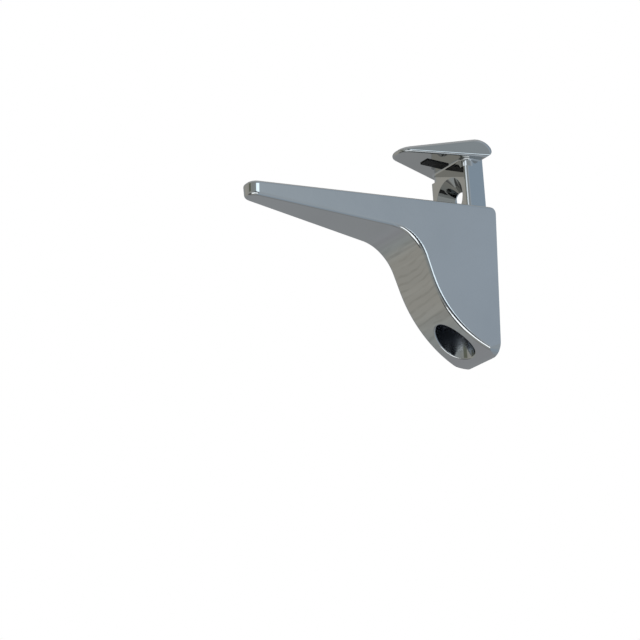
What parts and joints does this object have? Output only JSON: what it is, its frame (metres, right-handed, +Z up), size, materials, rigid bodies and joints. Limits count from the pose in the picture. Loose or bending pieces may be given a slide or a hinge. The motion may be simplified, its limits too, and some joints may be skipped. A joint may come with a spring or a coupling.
{
  "type": "shelf support clamp",
  "caption": "Wall-mounted clamp that grips a shelf's edge between an upper jaw and a tapering arm, drawn together by a screw from below.",
  "frame": {"origin": "on the wall plane, in the plane of symmetry, at the height of the upper jaw's gripping face", "axes": "+Y into the wall, -Y out under the shelf, +Z up, +X to the side"},
  "size_m": [0.0218, 0.0676, 0.0568],
  "materials": {
    "plated_casting": "polished",
    "rubber_strip": "matte",
    "screw_steel": "satin"
  },
  "bodies": {
    "jaw": {"upper_jaw": "plated_casting", "upper_pad": "rubber_strip"},
    "bracket": {"body": "plated_casting", "lower_pad": "rubber_strip"},
    "screw": {"clamp_screw": "screw_steel"}
  },
  "joints": [
    {"name": "bracket_slide", "type": "slide", "parent": "jaw", "child": "bracket", "axis": [0, 0, 1], "range_m": [-0.0055, 0.008]},
    {"name": "screw_spin", "type": "hinge", "parent": "bracket", "child": "screw", "pos_m": [0, -0.00825, -0.0361], "axis": [0, 0, 1], "range_deg": [-2829, 4115]}
  ],
  "couplings": [
    {"joint": "screw_spin", "follows": "bracket_slide", "rad_per_m": 8976}
  ]
}
